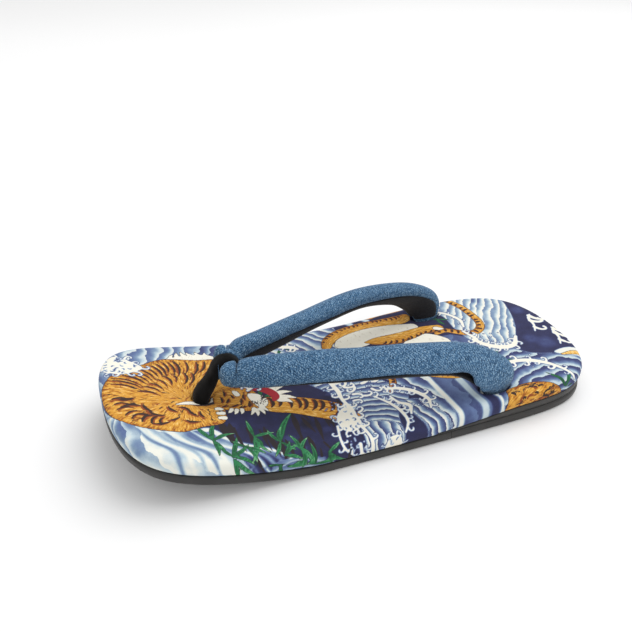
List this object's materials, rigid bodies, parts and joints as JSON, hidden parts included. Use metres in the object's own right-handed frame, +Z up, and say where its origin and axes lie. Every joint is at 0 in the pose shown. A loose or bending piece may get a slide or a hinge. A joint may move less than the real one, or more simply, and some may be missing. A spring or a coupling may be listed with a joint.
{
  "type": "zori sandal",
  "caption": "Flat zori sandal: rounded-rectangle fabric footbed on a thin rubber sole with toe spring, padded V strap and velvet toe thong.",
  "frame": {"origin": "on the floor, below the middle of the sole's length and width", "axes": "+X towards the toe, +Y towards the outer (left) side, +Z up"},
  "size_m": [0.2602, 0.1014, 0.0478],
  "materials": {
    "outsole_rubber": "satin moulded rubber",
    "wedge_rubber": "satin foamed rubber with a cut edge",
    "printed_cotton": "satin-weave cotton with a colour print",
    "denim": "twill denim, padded",
    "strap_lining": "matt brushed cloth",
    "velvet": "matt velvet"
  },
  "bodies": {
    "root": {"outsole_fore": "outsole_rubber", "heel_lift": "outsole_rubber", "heel_wedge": "wedge_rubber", "footbed": "printed_cotton", "strap": "denim", "toe_thong": "velvet"}
  },
  "joints": []
}
